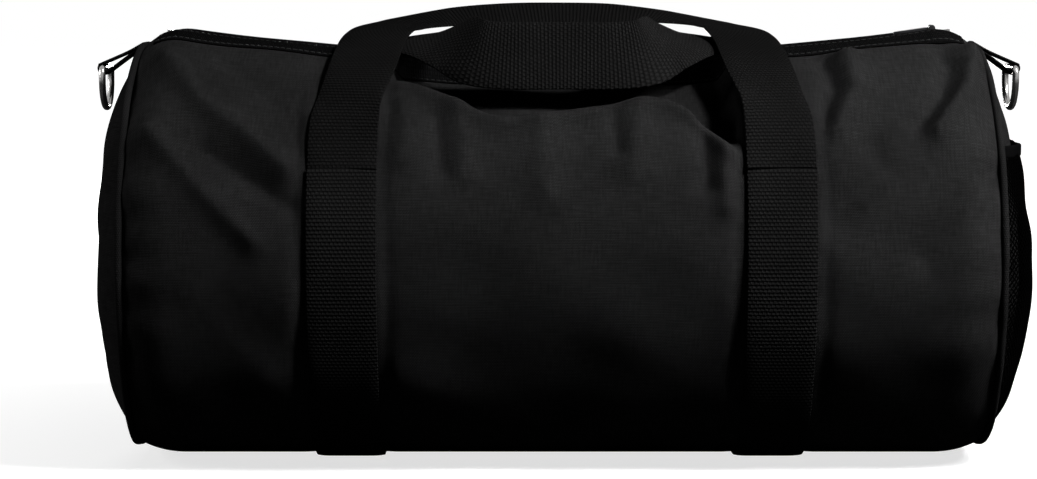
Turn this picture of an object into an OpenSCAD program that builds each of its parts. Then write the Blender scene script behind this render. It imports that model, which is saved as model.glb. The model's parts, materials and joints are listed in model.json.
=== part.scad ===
// Barrel duffel bag with two webbing handles, a zipped mouth and a mesh end pocket.
// The barrel lies along X, its front faces -Y, and it stands on its two girth straps at Z = 0.

/* [Barrel] */
// Length of the barrel between its end seams
barrel_l = 478; // [420:2:560]
// Radius of the barrel, outside of the cloth
barrel_r = 128; // [110:1:145]
// Thickness of the cloth
fabric_t = 1.6; // [1:0.1:2.5]
// How far the bottom is pressed flat by the bag's weight
bottom_flat = 8; // [2:1:14]
// How far the crest sags between the ends
crest_sag = 19; // [8:1:26]
// How far the barrel draws in at its end seams
end_draw = 10; // [4:1:14]
// Length over which the barrel draws in
end_round_l = 12; // [8:1:13]
// Bulge of the left end panel
left_bulge = 24; // [10:1:30]
// Bulge of the right end panel, behind the mesh pocket
right_bulge = 20; // [8:1:24]
// Radius of the piping round the end seams
piping_r = 2; // [1.2:0.1:3]

/* [Mouth] */
// Angle from the crest to the edge of the body panel
mouth_deg = 36; // [30:1:42]
// Angle that each mouth flap reaches under the body panel
flap_lap_deg = 4; // [2:0.5:6]
// Distance from the end seams to the ends of the mouth flaps
mouth_inset = 36; // [30:1:60]
// Half width of the slit between the flaps
slit_half = 9.5; // [9:0.1:12]
// Running gap between the flaps and the body panel
slide_gap = 0.8; // [0.5:0.1:1.5]

/* [Zip] */
// Width of one zip tape
tape_w = 13; // [11:0.5:16]
// Thickness of the zip tape
tape_t = 0.8; // [0.5:0.1:1.2]
// Width of one half of the coil
coil_w = 2.8; // [2.4:0.1:3.2]
// Height of the coil above the tape
coil_h = 2.2; // [1.6:0.1:2.8]
// Half of the gap between the two halves of the coil
coil_gap = 0.8; // [0.7:0.05:1]
// Distance of the parked slider from the end seam
slider_inset = 21; // [19:0.5:24]
// Length of the slider
slider_l = 13; // [11:0.5:14]
// Width of the slider
slider_w = 11; // [10:0.5:12]
// Thickness of the slider's plates
slider_plate = 1.2; // [0.8:0.1:1.5]
// Length of the puller
puller_l = 22; // [16:1:28]
// Width of the puller
puller_w = 8; // [7:0.5:10]
// Thickness of the puller
puller_t = 1.6; // [1.2:0.1:1.8]

/* [Webbing] */
// Width of the webbing
web_w = 38; // [30:1:42]
// Thickness of the webbing
web_t = 2; // [1.5:0.1:2.6]
// Distance of each girth strap from the middle of the bag
strap_x = 119; // [105:1:140]
// Angle from the crest at which the handles leave the bag
leave_deg = 66; // [60:1:72]
// Depth of the flat on which each girth strap stands
strap_flat = 0.5; // [0.3:0.1:0.8]

/* [Handles] */
// Height of the front grip's near edge above the middle of the crest
front_rise = 19; // [18:1:40]
// Distance of the front grip's near edge behind the crest
front_lean = 0; // [-4:1:8]
// Upward tilt of the front grip towards the back
front_tilt = 17; // [8:1:24]
// Height of the back handle's legs above the middle of the crest
back_rise = 6.5; // [6:0.5:8]
// Distance of the back grip in front of the crest
back_reach = 75; // [66:1:84]
// Half length of the back grip's straight run
back_half = 46; // [36:1:52]
// Slope of the back grip's face from level
back_slope = 75; // [60:1:80]

/* [Rings] */
// Width of the ring tabs
tab_w = 25; // [20:1:28]
// Thickness of one layer of a ring tab
tab_t = 1.8; // [1.2:0.1:2.2]
// Reach of the ring's bar beyond the end seam
ring_reach = 25; // [22:0.5:32]
// Drop of the ring's bar below the top of the end seam
ring_drop = 16; // [10:1:20]
// Inside width of the D-rings
ring_w = 28; // [26:1:34]
// Radius of the ring's wire
ring_wire_r = 2; // [1.5:0.1:2.2]
// Length of the ring's straight legs
ring_leg = 7; // [4:1:10]

/* [Pocket] */
// Bulge of the mesh pocket
pocket_bulge = 28.5; // [27:0.5:34]
// Thickness of the mesh
mesh_t = 1.2; // [0.8:0.1:1.6]
// Height of the pocket's rim above the barrel's axis
hem_rise = 62; // [40:1:68]
// Height of the bound hem
hem_h = 7; // [5:0.5:10]
// How far the hem stands proud of the mesh on each side
hem_proud = 0.6; // [0.3:0.1:0.8]

/* [Hidden] */

// Gap between pieces that lie on each other
lay_gap = 0.3;
// Radial clearance of a pin in its bore
pin_gap = 0.05;
// Softness of the edge of the pressed bottom
bottom_soft = 8;
// Power of the end panels' dome: higher is flatter in the middle
dome_power = 4;
half_l = barrel_l / 2;
seam_r = barrel_r - end_draw;
// Lowest point of the cloth below the barrel's axis
bottom_drop = barrel_r - bottom_flat - press(-bottom_flat);
axis_z = bottom_drop + lay_gap + web_t - strap_flat;
// The crest is an arc about a level line across the bag, far above it
arc_r = (pow(half_l, 2) + pow(crest_sag, 2)) / (2 * crest_sag);
arc_z = axis_z + barrel_r - crest_sag + arc_r;
crest_z = arc_z - arc_r;

// The flaps lie under the body panel, and the tape under the flaps
flap_drop = fabric_t + slide_gap;
tape_drop = flap_drop + fabric_t + 1.4;
tape_r = arc_r + tape_drop;
flap_half = half_l - mouth_inset;
slider_x = half_l - slider_inset;
end_gap = 1;

// Soft pressing of the bottom: the height kept above the flat at a depth u
function press(u) = (u + sqrt(u * u + bottom_soft * bottom_soft)) / 2;
// Sag of the crest at a station
function sag(x) = crest_sag - arc_r + sqrt(arc_r * arc_r - x * x);
// Radius of the barrel at a station, less its draw at the ends
function draw(x) = let (t = max(0, abs(x) - half_l + end_round_l) / end_round_l) end_draw * t * t;
// Point of the barrel's skin at a station and an angle from the crest, moved outwards
function skin(x, a, out = 0) =
    let (
        r = barrel_r - draw(x) + out,
        low = bottom_flat - r,
        z = low + press(r * cos(a) - low)
    )
    [x, r * sin(a), axis_z + z - sag(x) * pow(max(0, cos(a)), 3)];
// Point of an end dome at a share of the seam's radius and an angle, with a bulge to one side
function dome(side, share, a, rim_r, bulge, shift) =
    let (p = skin(half_l, a, rim_r - seam_r))
    [side * (half_l + shift + bulge * (1 - pow(share, dome_power))),
     p[1] * share, axis_z + (p[2] - axis_z) * share];

function unit(v) = v / norm(v);
function smooth(t) = t * t * (3 - 2 * t);
// Point on a smooth curve through a list of points
function along(pts, t) =
    let (
        n = len(pts) - 1,
        i = min(n - 1, floor(t * n)),
        u = t * n - i,
        b = pts[i],
        c = pts[i + 1],
        m = i > 0 ? (c - pts[i - 1]) / 2 : c - b,
        k = i < n - 1 ? (pts[i + 2] - b) / 2 : c - b
    )
    b * (1 - u * u * (3 - 2 * u)) + c * u * u * (3 - 2 * u)
        + m * u * (1 - u) * (1 - u) - k * u * u * (1 - u);

// Closed sheet between two grids of points with the same rows and columns
module sheet(outer, inner) {
    rows = len(outer);
    cols = len(outer[0]);
    count = rows * cols;
    points = concat([for (r = outer) each r], [for (r = inner) each r]);
    function at(i, j) = i * cols + j;
    tops = [for (i = [0 : rows - 2], j = [0 : cols - 2])
        each [[at(i, j), at(i, j + 1), at(i + 1, j + 1)], [at(i, j), at(i + 1, j + 1), at(i + 1, j)]]];
    unders = [for (f = tops) [f[2] + count, f[1] + count, f[0] + count]];
    rim = concat(
        [for (j = [0 : cols - 1]) at(0, j)],
        [for (i = [1 : rows - 1]) at(i, cols - 1)],
        [for (j = [cols - 2 : -1 : 0]) at(rows - 1, j)],
        [for (i = [rows - 2 : -1 : 1]) at(i, 0)]
    );
    edges = [for (k = [0 : len(rim) - 1]) let (p = rim[k], q = rim[(k + 1) % len(rim)])
        each [[p, p + count, q + count], [p, q + count, q]]];
    polyhedron(points, concat(tops, unders, edges), convexity = 8);
}

// Closed solid through rings of points, with a fan over each end
module loft(rings) {
    n = len(rings[0]);
    rows = len(rings);
    function middle(ring) = [for (s = ring) 1] * ring / len(ring);
    points = concat([for (r = rings) each r], [middle(rings[0]), middle(rings[rows - 1])]);
    sides = [for (i = [0 : rows - 2], j = [0 : n - 1]) let (k = (j + 1) % n)
        each [[i * n + j, i * n + k, (i + 1) * n + k], [i * n + j, (i + 1) * n + k, (i + 1) * n + j]]];
    first = [for (j = [0 : n - 1]) [rows * n, (j + 1) % n, j]];
    last = [for (j = [0 : n - 1]) [rows * n + 1, (rows - 1) * n + j, (rows - 1) * n + (j + 1) % n]];
    polyhedron(points, concat(sides, first, last), convexity = 8);
}

// Closed tube through rings of points that meet end to end
module torus(rings) {
    n = len(rings[0]);
    rows = len(rings);
    points = [for (r = rings) each r];
    faces = [for (i = [0 : rows - 1], j = [0 : n - 1]) let (k = (j + 1) % n, m = (i + 1) % rows)
        each [[i * n + j, i * n + k, m * n + k], [i * n + j, m * n + k, m * n + j]]];
    polyhedron(points, faces, convexity = 8);
}

// Stations along the barrel, closer together where its ends draw in
end_steps = 4;
body_steps = 12;
function stations(reach) =
    let (flat = reach - end_round_l)
    concat(
        [for (i = [0 : end_steps - 1]) -reach + end_round_l * i / end_steps],
        [for (i = [0 : body_steps]) -flat + 2 * flat * i / body_steps],
        [for (i = [1 : end_steps]) flat + end_round_l * i / end_steps]
    );
function even(from, to, steps) = [for (i = [0 : steps]) from + (to - from) * i / steps];
// Grid of skin points over stations and angles
function cloth(xs, angles, out) = [for (x = xs) [for (a = angles) skin(x, a, out)]];
module skin_sheet(xs, angles, out, thick) sheet(cloth(xs, angles, out), cloth(xs, angles, out - thick));

// Thin dome over an end of the barrel
dome_shares = [0.15, 0.35, 0.55, 0.72, 0.86, 0.95, 1];
dome_sides = 48;
module dome_shell(side, rim_r, bulge, shift, thick) {
    angles = [for (k = [0 : dome_sides - 1]) -side * k * 360 / dome_sides];
    function ring(share, s) = [for (a = angles) dome(side, share, a, rim_r, bulge, s)];
    last = len(dome_shares) - 1;
    loft(concat(
        [for (k = [0 : last]) ring(dome_shares[k], shift + thick)],
        [for (k = [last : -1 : 0]) ring(dome_shares[k], shift)]
    ));
}

// Turns a profile of [radius, y] along the crest's arc between two distances from the middle
module along_crest(profile, from_x, to_x, r) {
    start = asin(from_x / r);
    sweep = asin(to_x / r) - start;
    translate([0, 0, arc_z])
        rotate([-90, 0, 0])
            rotate([0, 0, 90 - start - sweep])
                rotate_extrude(angle = sweep, $fn = 720)
                    polygon(profile);
}

cloth_black = [0.10, 0.10, 0.11];
web_black = [0.06, 0.06, 0.07];
trim_black = [0.04, 0.04, 0.05];
plated = [0.75, 0.76, 0.78];

module body_panel() color(cloth_black)
    skin_sheet(stations(half_l), even(mouth_deg, 360 - mouth_deg, 48), 0, fabric_t);

// The end panels are sewn inside the ends of the body panel
end_rim_r = seam_r - fabric_t - lay_gap;
module end_panel(side, bulge) color(cloth_black)
    dome_shell(side, end_rim_r, bulge, -fabric_t, fabric_t);
module left_end_panel() end_panel(-1, left_bulge);
module right_end_panel() end_panel(1, right_bulge);

// Gap of a piece that is sewn or clamped on
sewn_gap = 0.1;
piping_out = piping_r - fabric_t;
piping_sides = 8;
module piping(side) color(trim_black)
    torus([for (k = [0 : dome_sides - 1]) [for (j = [0 : piping_sides - 1])
        let (
            t = side * j * 360 / piping_sides,
            p = skin(half_l, k * 360 / dome_sides, piping_out + piping_r * sin(t))
        )
        [side * (half_l + sewn_gap + piping_r * (1 + cos(t))), p[1], p[2]]]]);
module left_piping() piping(-1);
module right_piping() piping(1);

// Mouth flaps, which slide under the edges of the body panel
flap_edge = mouth_deg + flap_lap_deg;
slit_deg = asin(slit_half / barrel_r);
flap_xs = even(-flap_half, flap_half, 16);
module mouth_flap(angles) color(cloth_black) skin_sheet(flap_xs, angles, -flap_drop, fabric_t);
module front_mouth_flap() mouth_flap(even(-flap_edge, -slit_deg, 7));
module back_mouth_flap() mouth_flap(even(slit_deg, flap_edge, 7));

// Sewn-shut cloth between the mouth and the end seams, with a slot that the slider parks in
slider_gap = 0.5;
park_end = slider_x + slider_l / 2 + slider_gap;
patch_end = half_l - fabric_t - lay_gap;
patch_start = flap_half + end_gap;
module top_patch(side) color(cloth_black)
    difference() {
        skin_sheet(
            side > 0 ? even(patch_start, patch_end, 6) : even(-patch_end, -patch_start, 6),
            even(-flap_edge, flap_edge, 16), -flap_drop, fabric_t
        );
        translate([side > 0 ? patch_start - end_gap : -park_end - stop_l - end_gap, -slit_half, 0])
            cube([park_end + stop_l + 2 * end_gap - patch_start, 2 * slit_half, arc_z]);
    }
module left_top_patch() top_patch(-1);
module right_top_patch() top_patch(1);

// Zip: tape, coil and their sewn ends
function tape_profile(dir) =
    [[tape_r, dir * coil_gap], [tape_r + tape_t, dir * coil_gap],
     [tape_r + tape_t, dir * (coil_gap + tape_w)], [tape_r, dir * (coil_gap + tape_w)]];
coil_points = 6;
function coil_profile(dir) =
    [for (k = [0 : coil_points]) let (t = k * 180 / coil_points)
        [tape_r - coil_h * sin(t), dir * (coil_gap + coil_w * (1 - cos(t)) / 2)]];
module zip_tape(dir) color(trim_black)
    along_crest(tape_profile(dir), -flap_half, flap_half, tape_r);
module zip_coil(dir) color(trim_black)
    along_crest(coil_profile(dir), -flap_half, flap_half, tape_r);
module front_zip_tape() zip_tape(-1);
module back_zip_tape() zip_tape(1);
module front_zip_coil() zip_coil(-1);
module back_zip_coil() zip_coil(1);

stop_l = 3;
stop_h = 1.4;
// Tape and coil in one profile, for the sewn ends
function end_profile(dir) =
    concat([for (k = [1, 2, 3]) tape_profile(dir)[k]], backwards(coil_profile(dir)));
module zip_end(side) color(trim_black)
    mirror([side > 0 ? 0 : 1, 0, 0])
        for (dir = [-1, 1])
            along_crest(end_profile(dir), patch_start, park_end + stop_l + end_gap, tape_r);
module left_zip_end() zip_end(-1);
module right_zip_end() zip_end(1);
// Metal stop, clamped over both halves of the coil
stop_low_r = tape_r - coil_h - sewn_gap;
module zip_stop(side) color(plated)
    mirror([side > 0 ? 0 : 1, 0, 0])
        along_crest(
            [[stop_low_r - stop_h, -coil_gap - coil_w], [stop_low_r, -coil_gap - coil_w],
             [stop_low_r, coil_gap + coil_w], [stop_low_r - stop_h, coil_gap + coil_w]],
            park_end + slider_gap / 2, park_end + stop_l, tape_r
        );
module left_zip_stop() zip_stop(-1);
module right_zip_stop() zip_stop(1);

// Places a shape that is drawn on the tape's top face at the parked slider
module parked()
    translate([0, 0, arc_z])
        rotate([0, -asin(slider_x / tape_r), 0])
            translate([0, 0, -tape_r])
                children();
ear_t = 1.4;
ear_in = 2;
pin_r = 0.95;
ear_r = 1.9;
plate_z = coil_h + slider_gap;
pin_z = plate_z + slider_plate + ear_r;
module plate(z) translate([-slider_l / 2, -slider_w / 2, z]) cube([slider_l, slider_w, slider_plate]);
module ear_solid(r, from, long)
    translate([0, from, pin_z])
        rotate([-90, 0, 0])
            cylinder(r = r, h = long, $fn = 32);
module zip_slider() color(plated)
    parked() {
        lip_y = coil_gap + coil_w + slider_gap;
        lip_z = slider_gap;
        under_z = -tape_t - slider_gap - slider_plate;
        post_y = coil_gap - lay_gap;
        plate(plate_z);
        plate(under_z);
        translate([-slider_l / 4, -post_y, under_z])
            cube([slider_l / 2, 2 * post_y, plate_z - under_z + slider_plate]);
        for (dir = [-1, 1])
            translate([-slider_l / 2, dir > 0 ? lip_y : -slider_w / 2, lip_z])
                cube([slider_l, slider_w / 2 - lip_y, plate_z - lip_z + slider_plate]);
        difference() {
            for (from = [-ear_in - ear_t, ear_in]) {
                ear_solid(ear_r, from, ear_t);
                translate([-ear_r, from, plate_z]) cube([2 * ear_r, ear_t, pin_z - plate_z]);
            }
            ear_solid(pin_r + pin_gap, -slider_w, 2 * slider_w);
        }
    }
knuckle_r = 1.5;
puller_neck = 3.2;
puller_hole_r = 2;
module zip_puller() color(trim_black)
    parked() {
        ear_solid(pin_r, -ear_in - ear_t, 2 * (ear_in + ear_t));
        ear_solid(knuckle_r, -ear_in + lay_gap, 2 * (ear_in - lay_gap));
        difference() {
            union() {
                translate([-puller_neck, -ear_in + lay_gap, pin_z - puller_t / 2])
                    cube([puller_neck, 2 * (ear_in - lay_gap), puller_t]);
                translate([-puller_l + puller_w / 2, -puller_w / 2, pin_z - puller_t / 2])
                    cube([puller_l - puller_w / 2 - puller_neck, puller_w, puller_t]);
                translate([-puller_l + puller_w / 2, 0, pin_z - puller_t / 2])
                    cylinder(r = puller_w / 2, h = puller_t, $fn = 48);
            }
            translate([-puller_l + puller_w / 2, 0, pin_z - puller_t])
                cylinder(r = puller_hole_r, h = 2 * puller_t, $fn = 32);
        }
    }

// Girth straps: webbing round the bottom of the barrel, pressed flat where it stands
// Distance from a handle's hinge line to the strap's end and to the handle's end
seam_gap = 3.2;
seam_deg = seam_gap * 180 / (PI * barrel_r);
strap_angles = even(leave_deg + seam_deg, 360 - leave_deg - seam_deg, 56);
function strap_side(out) = [for (a = strap_angles) let (p = skin(strap_x, a, out)) [p[1], max(0, p[2])]];
function backwards(list) = [for (i = [len(list) - 1 : -1 : 0]) list[i]];
module girth_strap(side) color(web_black)
    translate([side * strap_x - web_w / 2, 0, 0])
        rotate([90, 0, 90])
            linear_extrude(web_w)
                polygon(concat(strap_side(lay_gap + web_t), backwards(strap_side(lay_gap))));
module left_girth_strap() girth_strap(-1);
module right_girth_strap() girth_strap(1);

// Handles: webbing of one width that turns from the strap's plane to the grip's plane
handle_steps = 56;
lift = lay_gap + web_t / 2 + 0.3;
function mix(a, b, t) = a * (1 - t) + b * t;
function mirrored(p) = [-p[0], p[1], p[2]];
function whole(half) = concat([for (p = half) mirrored(p)], [for (i = [len(half) - 2 : -1 : 0]) half[i]]);
// Rings of a ribbon along a path; its outer edge turns towards the grip's direction
function ribbon(path, grip_dir, turn_from, turn_to) =
    [for (i = [0 : handle_steps])
        let (
            s = i / handle_steps,
            c = along(path, s),
            step = 0.002,
            t = unit(along(path, min(1, s + step)) - along(path, max(0, s - step))),
            half = 1 - abs(2 * s - 1),
            turn = smooth(min(1, max(0, (half - turn_from) / (turn_to - turn_from)))),
            guess = mix([s < 0.5 ? -1 : 1, 0, 0], grip_dir, turn),
            w = unit(guess - (guess * t) * t) * web_w / 2,
            n = cross(t, unit(w)) * web_t / 2
        )
        [c + w - n, c - w - n, c - w + n, c + w + n]];

start_deg = leave_deg - seam_deg;
front_w = [0, cos(front_tilt), sin(front_tilt)];
front_mid = [0, front_lean, crest_z + front_rise] + front_w * web_w / 2;
front_last = skin(strap_x * 0.93, -leave_deg + 32, lift + 6);
function front_point(share_x, share_y, share_z) =
    [strap_x * share_x, mix(front_last[1], front_mid[1], share_y), mix(front_last[2], front_mid[2], share_z)];
front_path = whole([
    skin(strap_x, -start_deg, lift),
    skin(strap_x * 0.99, -leave_deg + 16, lift + 2),
    front_last,
    front_point(0.88, 0.6, 0.6),
    front_point(0.76, 0.83, 0.78),
    front_point(0.5, 0.95, 0.93),
    front_point(0.26, 0.985, 0.985),
    front_mid
]);
module front_handle() color(web_black) loft(ribbon(front_path, front_w, 0.15, 0.75));

back_w = [0, -cos(back_slope), -sin(back_slope)];
rest_y = back_reach - back_w[1] * web_w / 2;
back_mid = [0, -back_reach, skin(0, -asin(rest_y / barrel_r))[2] - back_w[2] * web_w / 2 + 2];
back_path = whole([
    skin(strap_x, start_deg, lift),
    skin(strap_x, leave_deg - 16, lift + 2),
    skin(strap_x * 0.97, leave_deg - 34, lift + 5),
    [strap_x * 0.82, 8, crest_z + back_rise + 2.5],
    [strap_x * 0.63, -back_reach * 0.42, crest_z + back_rise - 0.5],
    [back_half + 10, 12 - back_reach, back_mid[2] + 7.5],
    [back_half - 2, 1.5 - back_reach, back_mid[2] + 2],
    [back_half / 2, -back_reach, back_mid[2]],
    back_mid
]);
module back_handle() color(web_black) loft(ribbon(back_path, back_w, 0.42, 0.78));

// D-rings on folded tabs at the top of the end seams
seam_top = skin(half_l, 0)[2];
tab_root = [half_l + 2 * piping_r + sewn_gap + lay_gap, seam_top - 1];
ring_bar = [half_l + ring_reach, seam_top - ring_drop];
tab_run = ring_bar - tab_root;
tab_deg = atan2(tab_run[1], tab_run[0]);
bow_r = ring_w / 2 + ring_wire_r;
// The bar is drawn a little thinner than the bow
ring_bar_r = ring_wire_r - 0.1;
module bar_solid(r, long)
    translate([ring_bar[0], -long / 2, ring_bar[1]])
        rotate([-90, 0, 0])
            cylinder(r = r, h = long, $fn = 48);
module ring_tab(side) color(web_black)
    mirror([side > 0 ? 0 : 1, 0, 0])
        difference() {
            union() {
                bar_solid(ring_bar_r + pin_gap + tab_t, tab_w);
                translate([tab_root[0], tab_w / 2, tab_root[1]])
                    rotate([90, -tab_deg, 0])
                        translate([0, -tab_t, 0])
                            cube([norm(tab_run) - ring_bar_r - pin_gap - tab_t / 2, 2 * tab_t, tab_w]);
            }
            bar_solid(ring_bar_r + pin_gap, 2 * tab_w);
        }
module left_ring_tab() ring_tab(-1);
module right_ring_tab() ring_tab(1);
// Wire of a ring: down one leg, round the bow and up the other leg
bow_steps = 16;
wire_sides = 12;
function wire_ring(c, t) =
    [for (k = [0 : wire_sides - 1]) let (u = -k * 360 / wire_sides)
        c + ring_wire_r * (cos(u) * [1, 0, 0] + sin(u) * cross(t, [1, 0, 0]))];
bow_mid = [ring_bar[0], 0, ring_bar[1] - ring_leg];
leg_top = [0, 0, ring_leg + ring_wire_r];
module d_ring(side) color(plated)
    mirror([side > 0 ? 0 : 1, 0, 0]) {
        bar_solid(ring_bar_r, 2 * bow_r);
        loft(concat(
            [wire_ring(bow_mid + [0, -bow_r, 0] + leg_top, [0, 0, -1])],
            [for (k = [0 : bow_steps]) let (u = 180 + k * 180 / bow_steps)
                wire_ring(bow_mid + bow_r * [0, cos(u), sin(u)], [0, -sin(u), cos(u)])],
            [wire_ring(bow_mid + [0, bow_r, 0] + leg_top, [0, 0, 1])]
        ));
    }
module left_d_ring() d_ring(-1);
module right_d_ring() d_ring(1);

// Mesh pocket over the lower part of the right end, with a bound hem along its rim
pocket_rim_r = end_rim_r - 0.7;
pocket_shift = 0.8;
hem_top = axis_z + hem_rise;
module slab(from_z, to_z)
    translate([half_l - barrel_r, -barrel_r, from_z])
        cube([2 * barrel_r, 2 * barrel_r, to_z - from_z]);
module mesh_pocket() color(trim_black)
    intersection() {
        dome_shell(1, pocket_rim_r, pocket_bulge, pocket_shift, mesh_t);
        slab(0, hem_top - hem_h - lay_gap / 2);
    }
module pocket_hem() color(web_black)
    intersection() {
        dome_shell(1, pocket_rim_r, pocket_bulge, pocket_shift, mesh_t + 2 * hem_proud);
        slab(hem_top - hem_h, hem_top);
    }

body_panel();
left_end_panel();
right_end_panel();
left_piping();
right_piping();
left_top_patch();
right_top_patch();
left_zip_end();
right_zip_end();
left_zip_stop();
right_zip_stop();
left_girth_strap();
right_girth_strap();
left_ring_tab();
right_ring_tab();
mesh_pocket();
pocket_hem();
front_mouth_flap();
front_zip_tape();
front_zip_coil();
back_mouth_flap();
back_zip_tape();
back_zip_coil();
zip_slider();
zip_puller();
front_handle();
back_handle();
left_d_ring();
right_d_ring();
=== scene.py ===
"""Black barrel duffel bag with webbing handles, a zipped mouth, D-rings and a mesh end pocket."""
import json
import math
import bpy
import numpy as np
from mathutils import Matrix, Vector


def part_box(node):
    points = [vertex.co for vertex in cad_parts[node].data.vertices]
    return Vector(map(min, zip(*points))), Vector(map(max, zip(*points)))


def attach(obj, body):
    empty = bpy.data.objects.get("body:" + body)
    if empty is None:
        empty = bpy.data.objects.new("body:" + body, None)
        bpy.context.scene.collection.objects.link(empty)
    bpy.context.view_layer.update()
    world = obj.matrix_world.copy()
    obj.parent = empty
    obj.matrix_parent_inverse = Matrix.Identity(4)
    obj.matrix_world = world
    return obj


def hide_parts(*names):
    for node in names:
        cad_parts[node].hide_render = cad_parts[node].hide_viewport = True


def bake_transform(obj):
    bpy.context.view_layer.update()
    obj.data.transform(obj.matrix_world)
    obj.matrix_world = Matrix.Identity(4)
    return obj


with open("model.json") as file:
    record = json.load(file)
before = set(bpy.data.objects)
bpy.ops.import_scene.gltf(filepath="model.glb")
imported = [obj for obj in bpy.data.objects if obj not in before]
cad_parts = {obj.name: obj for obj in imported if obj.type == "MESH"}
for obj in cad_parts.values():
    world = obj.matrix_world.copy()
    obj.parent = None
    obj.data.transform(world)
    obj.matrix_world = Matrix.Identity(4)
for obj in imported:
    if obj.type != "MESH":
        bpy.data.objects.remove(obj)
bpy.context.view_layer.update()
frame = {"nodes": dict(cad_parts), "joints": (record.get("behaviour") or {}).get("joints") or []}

# Lengths are in metres and angles in radians.
# Angles round the barrel start at the crest, and are negative on the front.
MM = 0.001
joints = {j["name"]: j for j in frame["joints"]}
barrel_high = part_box("body_panel")[1]
strap_low, strap_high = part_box("right_girth_strap")
ENDS = ((-1, "left"), (1, "right"))

# Barrel: its crest hangs lower in the middle, its ends are drawn in and its bottom is pressed flat
HALF_L = barrel_high.x
BARREL_R = barrel_high.y
AXIS_Z = joints["front_flap_open"]["pos_m"][2]
CREST_SAG = 19 * MM
SAG_FADE = 3
ARC_R = (HALF_L**2 + CREST_SAG**2) / (2 * CREST_SAG)
CREST_Z = AXIS_Z + BARREL_R - CREST_SAG
ARC_Z = CREST_Z + ARC_R
BOTTOM_FLAT = 8 * MM
BOTTOM_SOFT = 8 * MM
END_DRAW = 13 * MM
END_DRAW_LOW = 6 * MM
END_ROUND = 26 * MM
END_CURVE = 2.2
CLOTH_T = 1.2 * MM
# The cloth hangs out a little, low on both sides
SLUMP = 4 * MM
SLUMP_AT = math.radians(140)
SLUMP_SPAN = math.radians(21)

# Webbing, which lies on the cloth up to where the handles leave the straps
STRAP_X = (strap_low.x + strap_high.x) / 2
WEB_W = strap_high.x - strap_low.x
WEB_T = 2 * MM
WEB_GAP = 0.3 * MM
LIFT = WEB_GAP + WEB_T / 2
LEAVE_DEG = 66
LEAVE = math.radians(LEAVE_DEG)

# The photograph's frame and the camera that it was taken with
PHOTO_W, PHOTO_H = 1037, 479
FOCAL_PX = 2550
SENSOR_W = 36
CAM_DISTANCE = 1.5
CAM_TILT = math.radians(6)
CAM_TARGET = np.array([-0.0234, 0, 0.1212])
cam_forward = np.array([0, math.cos(CAM_TILT), -math.sin(CAM_TILT)])
cam_up = np.array([0, math.sin(CAM_TILT), math.cos(CAM_TILT)])
cam_place = CAM_TARGET - CAM_DISTANCE * cam_forward


# Shape of the barrel
def smooth(t):
    """Soft step from 0 to 1."""
    t = np.clip(t, 0, 1)
    return t * t * (3 - 2 * t)


def press(u):
    """Height above the flat bottom, kept positive by a soft corner."""
    return (u + np.sqrt(u * u + BOTTOM_SOFT**2)) / 2


def sag(x):
    """How far the crest hangs below a straight line between its ends."""
    return CREST_SAG - ARC_R + np.sqrt(ARC_R**2 - x * x)


def draw(x, a):
    """How far the cloth is drawn in towards the end seams."""
    t = np.maximum(0, np.abs(x) - HALF_L + END_ROUND) / END_ROUND
    return (END_DRAW_LOW + (END_DRAW - END_DRAW_LOW) * smooth((1 + np.cos(a)) / 2)) * t**END_CURVE


def skin(x, a, out=0.0):
    """Points of the barrel at stations x and angles a from the crest, moved outwards."""
    x, a, out = np.broadcast_arrays(np.asarray(x, float), np.asarray(a, float), np.asarray(out, float))
    r = BARREL_R - draw(x, a) + out
    low = BOTTOM_FLAT - r
    from_crest = np.abs((a + math.pi) % (2 * math.pi) - math.pi)
    r = r + SLUMP * np.exp(-(((from_crest - SLUMP_AT) / SLUMP_SPAN) ** 2))
    z = low + press(r * np.cos(a) - low)
    z = AXIS_Z + z - sag(np.clip(x, -HALF_L, HALF_L)) * np.maximum(0, np.cos(a)) ** SAG_FADE
    return np.stack([x, r * np.sin(a), z], -1)


# Places on the barrel that pixels of the photograph show
SPOT_ROUNDS = 10
SPOT_STEP = 0.7


def barrel_spot(px, py):
    """Station and angle of the point of a plain round barrel that a pixel shows."""
    aside = np.array([(px - PHOTO_W / 2) / FOCAL_PX, 0, 0])
    ray = cam_forward + aside + cam_up * (PHOTO_H / 2 - py) / FOCAL_PX
    y, z = cam_place[1], cam_place[2] - AXIS_Z
    a = ray[1] ** 2 + ray[2] ** 2
    b = y * ray[1] + z * ray[2]
    c = y * y + z * z - BARREL_R**2
    t = (-b - math.sqrt(max(0.0, b * b - a * c))) / a
    return cam_place[0] + t * ray[0], math.atan2(y + t * ray[1], z + t * ray[2])


def shown_at(point):
    """Pixel that shows a point."""
    way = point - cam_place
    depth = way @ cam_forward
    return PHOTO_W / 2 + FOCAL_PX * way[0] / depth, PHOTO_H / 2 - FOCAL_PX * (way @ cam_up) / depth


def skin_spot(px, py):
    """Station and angle of the point of the slack barrel that a pixel shows, found step by step."""
    aim_x, aim_y = px, py
    for _ in range(SPOT_ROUNDS):
        x, a = barrel_spot(aim_x, aim_y)
        at_x, at_y = shown_at(skin(x, a))
        aim_x += SPOT_STEP * (px - at_x)
        aim_y += SPOT_STEP * (py - at_y)
    return barrel_spot(aim_x, aim_y)


# Meshes
def grid_faces(rows, cols, start=0, wrap=False, flip=False):
    i, j = np.meshgrid(np.arange(rows - 1), np.arange(cols if wrap else cols - 1), indexing="ij")
    k = (j + 1) % cols
    quads = [i * cols + j, i * cols + k, (i + 1) * cols + k, (i + 1) * cols + j]
    quads = np.stack(quads, -1).reshape(-1, 4)
    quads = quads[:, ::-1] if flip else quads
    return (quads + start).tolist()


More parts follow.
